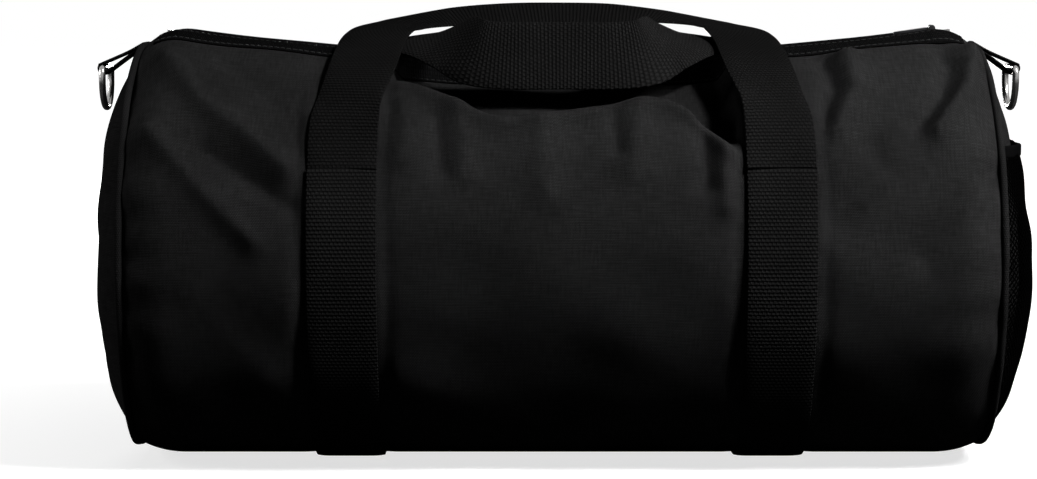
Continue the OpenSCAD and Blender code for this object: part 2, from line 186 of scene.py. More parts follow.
def end_caps(rows, cols):
    """Faces that close both ends of a tube of rings."""
    return [list(range(cols))[::-1], [(rows - 1) * cols + j for j in range(cols)]]


def build(name, points, faces, uv=None, material=None):
    mesh = bpy.data.meshes.new(name)
    mesh.from_pydata(np.asarray(points, float).reshape(-1, 3).tolist(), [], faces)
    mesh.shade_smooth()
    if uv is not None:
        spots = np.zeros(len(mesh.loops), np.int32)
        mesh.loops.foreach_get("vertex_index", spots)
        layer = mesh.uv_layers.new(name="UVMap")
        layer.data.foreach_set("uv", np.asarray(uv, np.float32).reshape(-1, 2)[spots].ravel())
    obj = bpy.data.objects.new(name, mesh)
    bpy.context.scene.collection.objects.link(obj)
    if material:
        mesh.materials.append(material)
    return obj


def sheet_mesh(name, outer, inner, uv, material):
    """Closed cloth between two grids of points."""
    rows, cols = outer.shape[:2]
    count = rows * cols
    rim = [(0, j) for j in range(cols)] + [(i, cols - 1) for i in range(1, rows)]
    rim += [(rows - 1, j) for j in range(cols - 2, -1, -1)] + [(i, 0) for i in range(rows - 2, 0, -1)]
    rim = [i * cols + j for i, j in rim]
    edge = [[p, q, q + count, p + count] for p, q in zip(rim, rim[1:] + rim[:1])]
    faces = grid_faces(rows, cols, flip=True) + grid_faces(rows, cols, start=count) + edge
    points = np.concatenate([outer.reshape(-1, 3), inner.reshape(-1, 3)])
    return build(name, points, faces, np.concatenate([uv.reshape(-1, 2)] * 2), material)


def weigh(piece):
    """Bakes a piece's placement into its points."""
    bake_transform(piece)


# Materials
NOISE_LOW, NOISE_HIGH = 0.3, 0.7
# Painted shade in the hollows of the weave: the tone at the bottom of a hollow, and how far it rises to
# the top of a yarn
HOLLOW_SHADE = 0.5
YARN_SHADE_RISE = 0.75
CLOTH_TONES = (0.82, 1.18)
CLOTH_PATCHES = 22
HARD_TONES = (0.9, 1.08)
WEAR_FINER = 3
SLUB_W = 1.1 * MM
SLUB_L = 11 * MM
SLUB_LEAST = 0.5
# Painted shade along the front grip: full within this share of its half length, gone past that share
SHADE_INNER, SHADE_OUTER = 0.55, 1.5


def shader(name, colour, roughness, metallic=0.0, specular=0.0):
    material = bpy.data.materials.new(name)
    material.use_nodes = True
    tree = material.node_tree
    bsdf = tree.nodes["Principled BSDF"]
    bsdf.inputs["Base Color"].default_value = (*colour, 1)
    bsdf.inputs["Roughness"].default_value = roughness
    bsdf.inputs["Metallic"].default_value = metallic
    bsdf.inputs["Specular IOR Level"].default_value = specular
    return material, tree, bsdf


def op(tree, kind, a, b=None):
    """A maths node on sockets or numbers."""
    part = tree.nodes.new("ShaderNodeMath")
    part.operation = kind
    for spot, value in enumerate([a] if b is None else [a, b]):
        if isinstance(value, (int, float)):
            part.inputs[spot].default_value = value
        else:
            tree.links.new(value, part.inputs[spot])
    return part.outputs[0]


def span(tree, value, start, end, low, high):
    """A range node that takes a value from one range to another."""
    part = tree.nodes.new("ShaderNodeMapRange")
    part.inputs["From Min"].default_value = start
    part.inputs["From Max"].default_value = end
    part.inputs["To Min"].default_value = low
    part.inputs["To Max"].default_value = high
    tree.links.new(value, part.inputs["Value"])
    return part


def grain(tree, vector, scale, detail):
    """Fine noise at a vector."""
    noise = tree.nodes.new("ShaderNodeTexNoise")
    noise.inputs["Scale"].default_value = scale
    noise.inputs["Detail"].default_value = detail
    tree.links.new(vector, noise.inputs["Vector"])
    return noise.outputs["Fac"]


def patchy(tree, bsdf, colour, tones, scale, height=None, streaks_and_shade=()):
    """Base colour that varies softly over the piece, times streaks and painted shade, with painted shade
    in the hollows of a height.
    """
    place = tree.nodes.new("ShaderNodeTexCoord")
    noise = grain(tree, place.outputs["Object"], scale, 5)
    level = span(tree, noise, NOISE_LOW, NOISE_HIGH, *tones).outputs["Result"]
    if height is not None:
        # Painted shade: the base colour is darker in the hollows between the yarns
        depth = op(tree, "ADD", op(tree, "MULTIPLY", height, YARN_SHADE_RISE), HOLLOW_SHADE)
        level = op(tree, "MULTIPLY", level, depth)
    for tone_factor in streaks_and_shade:
        level = op(tree, "MULTIPLY", level, tone_factor)
    tint = tree.nodes.new("ShaderNodeVectorMath")
    tint.operation = "SCALE"
    tint.inputs[0].default_value = colour
    tree.links.new(level, tint.inputs["Scale"])
    tree.links.new(tint.outputs["Vector"], bsdf.inputs["Base Color"])


def slub(tree, split, long_u, long_v):
    """Thick and thin yarns: noise drawn out along one way of the weave."""
    spot = tree.nodes.new("ShaderNodeCombineXYZ")
    tree.links.new(op(tree, "DIVIDE", split.outputs["X"], long_u), spot.inputs["X"])
    tree.links.new(op(tree, "DIVIDE", split.outputs["Y"], long_v), spot.inputs["Y"])
    return op(tree, "ADD", grain(tree, spot.outputs[0], 1, 2), SLUB_LEAST)


def grip_shade_tone(tree, split, middle, half, least):
    """Painted shade along the webbing: tone that falls to its least round a middle."""
    from_middle = op(tree, "ABSOLUTE", op(tree, "SUBTRACT", split.outputs["Y"], middle))
    share = span(tree, from_middle, half * SHADE_INNER, half * SHADE_OUTER, least, 1)
    share.interpolation_type = "SMOOTHSTEP"
    return share.outputs["Result"]


def woven(name, colour, roughness, pitch, depth, brick=0.5, flat=1.0, slubs=False, painted_shade=None):
    """Cloth or webbing: rows of rounded yarns in the piece's UV, which is in metres."""
    material, tree, bsdf = shader(name, colour, roughness)
    place = tree.nodes.new("ShaderNodeUVMap")
    split = tree.nodes.new("ShaderNodeSeparateXYZ")
    tree.links.new(place.outputs["UV"], split.inputs[0])
    v = op(tree, "MULTIPLY", split.outputs["Y"], 1 / pitch[1])
    u = op(tree, "MULTIPLY", split.outputs["X"], 1 / pitch[0])
    odd = op(tree, "MODULO", op(tree, "FLOOR", v), 2.0)
    u = op(tree, "ADD", u, op(tree, "MULTIPLY", odd, brick))
    across = op(tree, "ABSOLUTE", op(tree, "SINE", op(tree, "MULTIPLY", u, math.pi)))
    along_yarn = op(tree, "ABSOLUTE", op(tree, "SINE", op(tree, "MULTIPLY", v, math.pi)))
    height = op(tree, "MULTIPLY", op(tree, "POWER", across, flat), along_yarn)
    bump = tree.nodes.new("ShaderNodeBump")
    bump.inputs["Distance"].default_value = depth
    bump.inputs["Strength"].default_value = 1.0
    tree.links.new(height, bump.inputs["Height"])
    tree.links.new(bump.outputs["Normal"], bsdf.inputs["Normal"])
    streaks_and_shade = []
    if slubs:
        streaks_and_shade = [slub(tree, split, SLUB_W, SLUB_L), slub(tree, split, SLUB_L, SLUB_W)]
    # Painted shade along the grip
    if painted_shade:
        streaks_and_shade.append(grip_shade_tone(tree, split, *painted_shade))
    patchy(tree, bsdf, colour, CLOTH_TONES, CLOTH_PATCHES, height, streaks_and_shade)
    return material


def hard(name, colour, roughness, metallic, scale, spread, specular=0.5):
    """Metal, nylon or thread with fine wear in its roughness and tone."""
    material, tree, bsdf = shader(name, colour, roughness, metallic, specular)
    patchy(tree, bsdf, colour, HARD_TONES, scale)
    place = tree.nodes.new("ShaderNodeTexCoord")
    noise = grain(tree, place.outputs["Object"], scale * WEAR_FINER, 6)
    level = op(tree, "ADD", op(tree, "MULTIPLY", noise, spread), roughness - spread / 2)
    tree.links.new(level, bsdf.inputs["Roughness"])
    return material


# Yarn pitch across and along each weave, and the height of its yarns
PLAIN = {"pitch": (0.9 * MM, 0.9 * MM), "depth": 0.1 * MM, "slubs": True}
WEBBING = {"pitch": (2.3 * MM, 2.1 * MM), "depth": 0.42 * MM, "flat": 0.45}
BINDING = {"pitch": (1.2 * MM, 1.2 * MM), "depth": 0.18 * MM}
TAPE = {"pitch": (0.8 * MM, 0.8 * MM), "depth": 0.1 * MM, "brick": 0.0}
RIBBED = {"pitch": (1 * MM, 4 * MM), "depth": 0.4 * MM, "brick": 0.0}
# Painted shade on the grip of the front handle: middle and half length along the webbing, then its tone
GRIP_SHADE = (0.249, 0.2, 0.65)

cloth_black = woven("black_weave", (0.0163, 0.0162, 0.0163), 0.75, **PLAIN)
end_black = woven("end_weave", (0.0128, 0.0127, 0.0128), 0.75, **PLAIN)
web_black = woven("black_webbing", (0.009, 0.0089, 0.0089), 0.6, **WEBBING)
tape_black = woven("zip_tape_weave", (0.004, 0.004, 0.0041), 0.75, **TAPE)
trim_black = woven("binding_weave", (0.012, 0.0119, 0.012), 0.7, **BINDING)
# The front grip's colour is a little darker than the other webbing: painted shade
grip_black = woven("grip_webbing", (0.0085, 0.0084, 0.0084), 0.6, painted_shade=GRIP_SHADE, **WEBBING)
facing_black = woven("facing_weave", (0.0045, 0.0045, 0.0046), 0.7, **RIBBED)
hem_black = woven("hem_weave", (0.003, 0.003, 0.0031), 0.7, **BINDING)
net_black = hard("net_yarn", (0.0007, 0.0007, 0.0007), 0.6, 0.0, 400, 0.2, 0.0)
thread_black = hard("sewing_thread", (0.012, 0.012, 0.0122), 0.5, 0.0, 900, 0.2, 0.1)
coil_black = hard("coil_nylon", (0.006, 0.006, 0.0062), 0.32, 0.0, 600, 0.15, 0.4)
nickel = hard("nickel_plate", (0.62, 0.61, 0.6), 0.22, 1.0, 220, 0.16)
dark_metal = hard("black_plate", (0.03, 0.03, 0.032), 0.3, 0.6, 300, 0.16)


# Relief of the cloth: soft swell, folds that the photograph shows, gathers along the sewn edges
SWELL = 0.9 * MM
WAVE_COUNT = 14
rng = np.random.default_rng(7)
wave_turn = rng.uniform(0, math.pi, WAVE_COUNT)
wave_k = 2 * math.pi / rng.uniform(45 * MM, 130 * MM, WAVE_COUNT)
wave_phase = rng.uniform(0, 2 * math.pi, WAVE_COUNT)

# Ridges and hollows: half width and height in millimetres, then pixels of the photograph along the crest
FOLDS = [
    (9, 6.0, [(165, 58), (200, 104), (245, 134), (285, 168)]),
    (8, 4.6, [(148, 134), (200, 190), (252, 240)]),
    (8, -3.4, [(205, 150), (250, 182), (286, 206)]),
    (12, -3.0, [(232, 66), (268, 96), (292, 120)]),
    (7, 7.2, [(964, 34), (975, 60), (968, 90), (936, 130)]),
    (8, -6.0, [(938, 36), (949, 64), (942, 94), (922, 122)]),
    (9, 5.0, [(846, 56), (854, 90), (838, 128)]),
    (6.5, -4.2, [(822, 58), (834, 88), (822, 120)]),
    (8, -4.5, [(990, 170), (980, 202), (954, 230), (925, 258)]),
    (10, -3.2, [(874, 146), (882, 168), (852, 196), (840, 222)]),
    (10, 3.4, [(640, 104), (632, 166)]),
    (5, -2.4, [(613, 112), (618, 150)]),
    (6, -3.6, [(703, 118), (708, 186)]),
    (7, 3.4, [(724, 146), (726, 206)]),
    (11, 3.6, [(541, 122), (546, 192)]),
    (5, -2.2, [(436, 116), (441, 170)]),
    (8, 2.8, [(458, 106), (465, 172)]),
    (7, 2.2, [(403, 100), (406, 160)]),
    (16, 1.6, [(170, 270), (270, 380)]),
]
FOLD_EDGE = 1.6
# Sewn cloth beside the zip stays free of folds up to this far from the crest
FOLD_FREE = 36 * MM
FOLD_FADE = 12 * MM

# Where the front dips towards the mouth between the straps, as pixels of the photograph
DIP_LINE = [
    (390, 75), (437, 85), (460, 98), (498, 113), (537, 110), (583, 102), (623, 97), (667, 90), (690, 105),
    (723, 132), (743, 158),
]
DIP = 13 * MM
DIP_RUN = 15 * MM
DIP_CREST = 2.5 * MM
DIP_CREST_W = 8 * MM
# The fall starts this far in front of the line, and the line is averaged over a short stretch
DIP_AHEAD = 9 * MM
DIP_SOFT = 14 * MM
DIP_SAMPLES = 9
DIP_SIDE = 12 * MM

# Cloth tucked in beside the straps
TUCK = 1.5 * MM
TUCK_OFF = 3 * MM
TUCK_W = 5 * MM
TUCK_FROM = math.radians(34)
TUCK_TURN = math.radians(12)

# Pleats at the end seams
PLEAT = 0.9 * MM
PLEAT_REACH = 15 * MM
PLEAT_END = 5 * MM
PLEAT_LENGTH = 5.2 * MM
PLEAT_DRIFT = 2.1
PLEAT_DRIFT_LENGTH = 31 * MM

# The relief stays within these heights and fades out towards the floor
RELIEF_LOW, RELIEF_HIGH = -15 * MM, 7.5 * MM
FLOOR_FROM = math.radians(158)
FLOOR_TURN = math.radians(25)

# Straps press the cloth in, and follow a share of its relief
STRAP_FOLLOW = 0.6
STRAP_TURN = math.radians(14)
STRAP_SAMPLES = 5
UNDER_PRESS = 0.25 * MM
UNDER_FADE = 8 * MM
UNDER_FROM = math.radians(24)
UNDER_TURN = math.radians(14)

# The slit of the mouth, where the cloth rolls down to the zip, with a sewn groove beside it
SLIT_A = math.asin(7.5 * MM / BARREL_R)
SLIT_FREE = 26 * MM
SLIT_DROP = 2.4 * MM
SLIT_ROLL = 6 * MM
SEAM_AT = 9.5 * MM
GROOVE = 0.55 * MM
GROOVE_W = 1.1 * MM

fold_lines = [(wide, high, [skin_spot(*pixel) for pixel in pixels]) for wide, high, pixels in FOLDS]
dip_spots = np.array([skin_spot(*pixel) for pixel in DIP_LINE])


def swell(x, s):
    """Sum of long waves, about 1 high."""
    total = np.zeros_like(x)
    for turn, k, phase in zip(wave_turn, wave_k, wave_phase):
        total += np.sin(k * (x * math.cos(turn) + s * math.sin(turn)) + phase)
    return total / math.sqrt(WAVE_COUNT)


def fold_relief(x, s):
    """Ridges and hollows along the crests of the folds."""
    out = np.zeros_like(x)
    for wide, high, crest in fold_lines:
        away = np.full_like(x, 1.0)
        for (sx, sa), (ex, ea) in zip(crest, crest[1:]):
            run = np.array([ex - sx, (ea - sa) * BARREL_R])
            t = np.clip(((x - sx) * run[0] + (s - sa * BARREL_R) * run[1]) / (run @ run), 0, 1)
            away = np.minimum(away, np.hypot(x - sx - t * run[0], s - sa * BARREL_R - t * run[1]))
        out += high * MM * np.exp(-((away / (wide * MM)) ** FOLD_EDGE))
    return out * smooth((np.abs(s) - FOLD_FREE) / FOLD_FADE)


def dip_relief(x, a):
    """The front falls away towards the mouth between the straps, past a soft crest."""
    shifts = np.linspace(-DIP_SOFT, DIP_SOFT, DIP_SAMPLES)
    line = np.mean([np.interp(x + d, dip_spots[:, 0], dip_spots[:, 1]) for d in shifts], 0)
    past = np.where(a < 0, (a - line) * BARREL_R + DIP_AHEAD, -1.0)
    crest = DIP_CREST * np.exp(-((past / DIP_CREST_W) ** 2))
    between = smooth((STRAP_X - WEB_W / 2 - np.abs(x)) / DIP_SIDE)
    return between * (crest - DIP * smooth(past / DIP_RUN))


def seam_relief(x, a):
    """Pleats at the end seams and tucks beside the straps."""
    s = a * BARREL_R
    to_end = HALF_L - np.abs(x)
    wave = np.sin(s / PLEAT_LENGTH + PLEAT_DRIFT * np.sin(s / PLEAT_DRIFT_LENGTH) + np.sign(x))
    pleats = PLEAT * np.exp(-to_end / PLEAT_REACH) * wave * smooth(to_end / PLEAT_END)
    beside = (np.abs(np.abs(x) - STRAP_X) - WEB_W / 2 - TUCK_OFF) / TUCK_W
    tucks = TUCK * np.exp(-(beside**2)) * smooth((np.abs(a) - TUCK_FROM) / TUCK_TURN)
    return pleats - tucks


def raw_relief(x, a):
    """Relief of the cloth before straps and zip hold it."""
    s = a * BARREL_R
    out = SWELL * swell(x, s) + fold_relief(x, s) + dip_relief(x, a) + seam_relief(x, a)
    return np.clip(out, RELIEF_LOW, RELIEF_HIGH) * smooth((FLOOR_FROM - np.abs(a)) / FLOOR_TURN)


def strap_lift(side, a):
    """How far a strap follows the relief of the cloth under it."""
    spread = np.linspace(-0.5, 0.5, STRAP_SAMPLES) * WEB_W
    mean = np.mean([raw_relief(side * STRAP_X + d + 0 * a, a) for d in spread], 0)
    return STRAP_FOLLOW * mean * smooth((np.abs(a) - LEAVE) / STRAP_TURN)


def cloth_relief(x, a):
    """Relief of the cloth, held under the straps and beside the zip."""
    out = raw_relief(x, a)
    for side in (-1, 1):
        under = 1 - smooth((np.abs(x - side * STRAP_X) - WEB_W / 2) / UNDER_FADE)
        under = under * smooth((np.abs(a) - UNDER_FROM) / UNDER_TURN)
        out = out * (1 - under) + (strap_lift(side, a) - UNDER_PRESS) * under
    from_slit = (np.abs(a) - SLIT_A) * BARREL_R
    out = out * smooth(from_slit / SLIT_FREE)
    out -= SLIT_DROP * (1 - smooth(from_slit / SLIT_ROLL))
    return out - GROOVE * np.exp(-(((from_slit - SEAM_AT) / GROOVE_W) ** 2))


# Front and back cloth, in finer rows beside the slit
CLOTH_STATIONS = 261
FINE_TO = 14 * MM
FINE_ROWS = 15
COARSE_FROM = 16.2 * MM
COARSE_ROWS = 190


def cloth_half(name, side):
    x = -side * np.linspace(HALF_L, -HALF_L, CLOTH_STATIONS)
    fine = np.linspace(0, FINE_TO, FINE_ROWS)
    coarse = np.linspace(COARSE_FROM, math.pi * BARREL_R, COARSE_ROWS)
    a = side * np.minimum(SLIT_A + np.concatenate([fine, coarse]) / BARREL_R, math.pi)
    a, x = np.meshgrid(a, x)
    out = cloth_relief(x, a)
    uv = np.stack([x, a * BARREL_R], -1)
    piece = sheet_mesh(name, skin(x, a, out), skin(x, a, out - CLOTH_T), uv, cloth_black)
    weigh(piece)
    return piece


front_cloth = cloth_half("front_cloth", -1)
back_cloth = cloth_half("back_cloth", 1)
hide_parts("body_panel", "front_mouth_flap")
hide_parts("back_mouth_flap")

# End panels: bulging rounds with crumples, pleated at the rim. Shares are of the way from centre to rim.
LEFT_BULGE = 24 * MM
RIGHT_BULGE = 20 * MM
BULGE_CURVE = 4
END_RIM_IN = 1.9 * MM
END_SHIFT = 0.4 * MM
END_CENTRE = 0.0006
END_RINGS = 44
END_SPOKES = 181
CRUMPLE = 1.5 * MM
CRUMPLE_AWAY = 0.7
CRUMPLE_FADE = 2.2
END_PLEAT = 1.3 * MM
END_PLEATS = 26
END_PLEAT_DRIFT = 2.4
END_PLEAT_TURNS = 5
END_PLEAT_REACH = 0.12
END_PLEAT_RIM = 0.035


def end_panel(name, side, bulge, node):
    share = np.linspace(END_CENTRE, 1, END_RINGS)[::-side]
    a, share = np.meshgrid(np.linspace(0, 2 * math.pi, END_SPOKES), share)
    rim = skin(np.full_like(a, HALF_L), a, -END_RIM_IN)
    y = rim[..., 1] * share
    z = AXIS_Z + (rim[..., 2] - AXIS_Z) * share
    to_rim = 1 - share
    crumple = CRUMPLE * swell(y + side * CRUMPLE_AWAY, z) * np.minimum(1, CRUMPLE_FADE * to_rim)
    wave = np.sin(END_PLEATS * a + END_PLEAT_DRIFT * np.sin(END_PLEAT_TURNS * a + side))
    crumple += END_PLEAT * wave * np.exp(-to_rim / END_PLEAT_REACH) * smooth(to_rim / END_PLEAT_RIM)
    x = side * (HALF_L + END_SHIFT + bulge * (1 - share**BULGE_CURVE) + crumple)
    outer = np.stack([x, y, z], -1)
    inner = outer - np.array([side * CLOTH_T, 0, 0])
    piece = sheet_mesh(name, outer, inner, np.stack([y, z], -1), end_black)
    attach(piece, "bag")
    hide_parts(node)
    return piece


left_end = end_panel("left_end", -1, LEFT_BULGE, "left_end_panel")
right_end = end_panel("right_end", 1, RIGHT_BULGE, "right_end_panel")

# Tubes, strips and rods along paths
TUBE_SIDES = 12
# A direction that no tube runs along
TUBE_ASIDE = np.array([0.31, 0.17, 0.93])
STRIP_COLS = 15
STRIP_EDGE = 0.62
STRIP_EDGE_CURVE = 8
strip_u = np.sin(np.linspace(-math.pi / 2, math.pi / 2, STRIP_COLS))
# A rod's rings: place along its half length, and share of its radius
ROD_ALONG = np.array([-1, -0.9, -0.55, 0, 0.55, 0.9, 1])
ROD_ROUND = np.array([0.15, 0.62, 0.95, 1, 0.95, 0.62, 0.15])
ROD_SIDES = 6


def unit(v):
    return v / np.linalg.norm(v, axis=-1, keepdims=True)


def run_length(path):
    """Length along a path at each of its points."""
    return np.concatenate([[0], np.cumsum(np.linalg.norm(np.diff(path, axis=0), axis=1))])


def along(points, count):
    """Smooth curve through points."""
    points = np.asarray(points, float)
    slope = np.gradient(points, axis=0)
    t = np.linspace(0, len(points) - 1, count)
    i = np.minimum(t.astype(int), len(points) - 2)
    f = (t - i)[:, None]
    return (
        (1 + 2 * f) * (1 - f) ** 2 * points[i] + f * (1 - f) ** 2 * slope[i]
        + f * f * (3 - 2 * f) * points[i + 1] + f * f * (f - 1) * slope[i + 1]
    )


def tube(name, path, radius, material, sides=TUBE_SIDES):
    """Closed ring of round tube."""
    step = unit(np.roll(path, -1, 0) - np.roll(path, 1, 0))
    side = unit(np.cross(step, TUBE_ASIDE))
    top = np.cross(side, step)
    turn = np.linspace(0, 2 * math.pi, sides, endpoint=False)
    ring = np.cos(turn)[:, None] * side[:, None] + np.sin(turn)[:, None] * top[:, None]
    uv = np.stack(np.broadcast_arrays(turn[None] * radius, run_length(path)[:, None]), -1)
    last = (len(path) - 1) * sides
    faces = grid_faces(len(path), sides, wrap=True)
    faces += [[last + j, last + (j + 1) % sides, (j + 1) % sides, j] for j in range(sides)]
    return build(name, path[:, None] + radius * ring, faces, uv, material)


def strip(name, centre, across, width, thick, material):
    """Webbing along a path, with rounded edges."""
    step = unit(np.gradient(centre, axis=0))
    across = unit(across - np.sum(across * step, 1)[:, None] * step)
    normal = np.cross(step, across)
    half = thick / 2 * (1 - STRIP_EDGE * strip_u**STRIP_EDGE_CURVE)
    u = np.concatenate([strip_u, strip_u[::-1]]) * width / 2
    h = np.concatenate([half, -half[::-1]])
    points = centre[:, None] + across[:, None] * u[None, :, None] + normal[:, None] * h[None, :, None]
    uv = np.stack(np.broadcast_arrays(u[None], run_length(centre)[:, None]), -1)
    rows, cols = points.shape[:2]
    return build(name, points, grid_faces(rows, cols, wrap=True) + end_caps(rows, cols), uv, material)


def rods(name, centres, runs, normals, length, radius, material):
    """Many small rounded rods, for stitches and coil teeth, and the number of points in each."""
    runs, normals = unit(np.asarray(runs)), unit(np.asarray(normals))
    over = np.cross(runs, normals)
    turn = np.linspace(0, 2 * math.pi, ROD_SIDES, endpoint=False)
    ring = np.cos(turn)[:, None] * over[:, None, None] + np.sin(turn)[:, None] * normals[:, None, None]
    line = centres[:, None, None] + runs[:, None, None] * (ROD_ALONG * length / 2)[:, None, None]
    points = line + ring * (radius * ROD_ROUND)[:, None, None]
    per = len(ROD_ALONG) * ROD_SIDES
    one = grid_faces(len(ROD_ALONG), ROD_SIDES, wrap=True) + end_caps(len(ROD_ALONG), ROD_SIDES)
    faces = [[v + k * per for v in face] for k in range(len(centres)) for face in one]
    return build(name, points, faces, None, material), per


# Piping round the end seams
CORD_R = 2.1 * MM
CORD_OUT = 0.2 * MM
CORD_SHIFT = 1.6 * MM
CORD_LOWEST = 2.3 * MM
CORD_WAVE = 0.35 * MM
CORD_WAVES = 17
CORD_DRIFT = 2
CORD_DRIFT_TURNS = 4
CORD_POINTS = 240
for side, word in ENDS:
    a = np.linspace(0, 2 * math.pi, CORD_POINTS, endpoint=False)
    wave = CORD_WAVE * np.sin(CORD_WAVES * a + CORD_DRIFT * np.sin(CORD_DRIFT_TURNS * a + side))
    ring = skin(np.full_like(a, HALF_L), a, CORD_OUT + wave)
    ring[:, 0] = side * (HALF_L + CORD_SHIFT)
    ring[:, 2] = np.maximum(ring[:, 2], CORD_LOWEST)
    cord = tube(word + "_cord", ring, CORD_R, trim_black)
    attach(cord, "bag")
    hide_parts(word + "_piping")

# Girth straps, round the bottom from one hinge line of the handles to the other
STRAP_GAP = 0.02 * MM
STRAP_POINTS = 260
strap_end = LEAVE + STRAP_GAP / BARREL_R
for side, word in ENDS:
    a = np.linspace(-strap_end, strap_end - 2 * math.pi, STRAP_POINTS)
    seen = np.where(a < -math.pi, a + 2 * math.pi, a)
    centre = skin(np.full_like(a, side * STRAP_X), seen, LIFT + strap_lift(side, seen))
    centre[:, 2] = np.maximum(centre[:, 2], WEB_T / 2)
    strap = strip(word + "_strap", centre, np.tile([1.0, 0, 0], (len(a), 1)), WEB_W, WEB_T, web_black)
    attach(strap, "bag")
    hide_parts(word + "_girth_strap")

# Handles: half a path each, from the strap to the middle of the grip, with listed points
HANDLE_POINTS = 300
BEND_DEG = 58


def spot(x, degrees, out):
    """Point of the barrel at an angle in degrees."""
    return skin(x, math.radians(degrees), out)


def whole(half):
    """Path of both halves, the left one mirrored."""
    half = np.asarray(half)
    return np.concatenate([half * np.array([-1, 1, 1]), half[-2::-1]])


def handle(name, path, rolls, side, body, material):
    """Webbing along a path; a roll of 0 degrees lies level across it, and 90 stands upright."""
    centre = along(path, HANDLE_POINTS)
    roll = along(np.radians(rolls)[:, None], HANDLE_POINTS)
    step = unit(np.gradient(centre, axis=0))
    level = unit(np.cross(step, np.array([0, 0, 1.0])))
    across = np.cross(level, step) * np.sin(roll) - level * np.cos(roll)
    piece = strip(name, centre, across, WEB_W, WEB_T, material)
    spot(STRAP_X, side * LEAVE_DEG, 0)
    spot(STRAP_X, side * BEND_DEG, 0)
    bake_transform(piece)
    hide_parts(body)


# The front grip stands above the crest and leans back
FRONT_TILT = math.radians(17)
FRONT_RISE = 19 * MM
FRONT_ROLLS = [0, 0, 0, 1, 7, 14, 17, 17, 16, 9, 1, -2, 0, 0, 0]
front_lean = np.array([0, math.cos(FRONT_TILT), math.sin(FRONT_TILT)])
front_mid = np.array([0, 0, CREST_Z + FRONT_RISE]) + front_lean * WEB_W / 2
front_last = spot(0.93 * STRAP_X, -34, LIFT + 6 * MM)


def front_point(share_x, share_y, share_z):
    """Point of the arch, in shares of the strap's station and of the way to the middle of the grip."""
    y = front_last[1] + (front_mid[1] - front_last[1]) * share_y
    z = front_last[2] + (front_mid[2] - front_last[2]) * share_z
    return np.array([STRAP_X * share_x, y, z])


front_path = whole([
    spot(STRAP_X, -LEAVE_DEG, LIFT),
    spot(0.99 * STRAP_X, -50, LIFT + 2.8 * MM),
    front_last,
    front_point(0.88, 0.6, 0.6),
    front_point(0.76, 0.83, 0.78),
    front_point(0.5, 0.95, 0.93),
    front_point(0.26, 0.985, 0.985),
    front_mid,
])
handle("front_carry_handle", front_path, FRONT_ROLLS, -1, "front_handle", grip_black)

# The back handle passes under the front one, and its grip lies on the front slope
BACK_SLOPE = math.radians(75)
BACK_REACH = 75 * MM
BACK_CLEAR = 2 * MM
BACK_ROLLS = [0, 0, 0, 5, 16, 30, 50, 72, 75, 75, 75, 72, 50, 30, 16, 5, 0, 0, 0]
back_lean = np.array([0, -math.cos(BACK_SLOPE), -math.sin(BACK_SLOPE)])
rest_a = math.asin((BACK_REACH - back_lean[1] * WEB_W / 2) / BARREL_R)
back_z = skin(0, -rest_a)[2] - back_lean[2] * WEB_W / 2 + BACK_CLEAR
back_path = whole([
    spot(STRAP_X, LEAVE_DEG, LIFT),
    spot(STRAP_X, 50, LIFT + 2 * MM),
    spot(0.97 * STRAP_X, 32, LIFT + 7.5 * MM),
    np.array([100 * MM, 10 * MM, CREST_Z + 8.2 * MM]),
    np.array([82 * MM, -23 * MM, CREST_Z + 9 * MM]),
    np.array([69 * MM, -44 * MM, CREST_Z + 10.2 * MM]),
    np.array([59 * MM, 15 * MM - BACK_REACH, back_z + 7 * MM]),
    np.array([48 * MM, 3 * MM - BACK_REACH, back_z + 2 * MM]),
    np.array([30 * MM, -BACK_REACH, back_z]),
    np.array([0, -BACK_REACH, back_z]),
])
handle("back_carry_handle", back_path, BACK_ROLLS, 1, "back_handle", web_black)

# Folded tabs and D-rings at the top of the end seams
TAB_W = 25 * MM
TAB_T = 1.7 * MM
TAB_OUT = 3.4 * MM
TAB_DOWN = 0.6 * MM
TAB_SEWN = 2 * MM
TAB_FLAT = 8 * MM
TAB_SPREAD = 0.62
TAB_POINTS = 120
WRAP_GAP = 0.05 * MM
WRAP_POINTS = 15
WIRE_R = 2 * MM
WIRE_SIDES = 16
RING_LEG = 7 * MM
BOW_R = 16 * MM
BOW_POINTS = 40
CORNER_R = 3 * MM
CORNER_POINTS = 6
ring_bar = joints["right_ring_swing"]["pos_m"]
bar = np.array([ring_bar[0], ring_bar[2]])
tab_root = np.array([HALF_L + TAB_OUT, skin(HALF_L, 0.0)[2] - TAB_DOWN])
run = unit(bar - tab_root)
rise = np.array([-run[1], run[0]])
wrap_r = WIRE_R + TAB_T / 2 + WRAP_GAP
tab_start = tab_root - run * TAB_SEWN
tab_bend = tab_root + run * TAB_FLAT
fold = [tab_start + rise * TAB_T / 2, tab_bend + rise * TAB_T * TAB_SPREAD]
for t in np.linspace(math.pi / 2, -math.pi / 2, WRAP_POINTS):
    fold.append(bar + wrap_r * (math.sin(t) * rise + math.cos(t) * run))
fold += [tab_bend - rise * TAB_T * TAB_SPREAD, tab_start - rise * TAB_T / 2]
corner = [
    (BOW_R - CORNER_R * (1 - math.sin(t)), -CORNER_R * (1 - math.cos(t)))
    for t in np.linspace(0, math.pi / 2, CORNER_POINTS)
]
bow_turns = np.linspace(math.pi, 2 * math.pi, BOW_POINTS)
d_path = [(-y, z) for y, z in corner]
d_path += [(BOW_R * math.cos(t), -RING_LEG + BOW_R * math.sin(t)) for t in bow_turns]
d_path += corner[::-1]
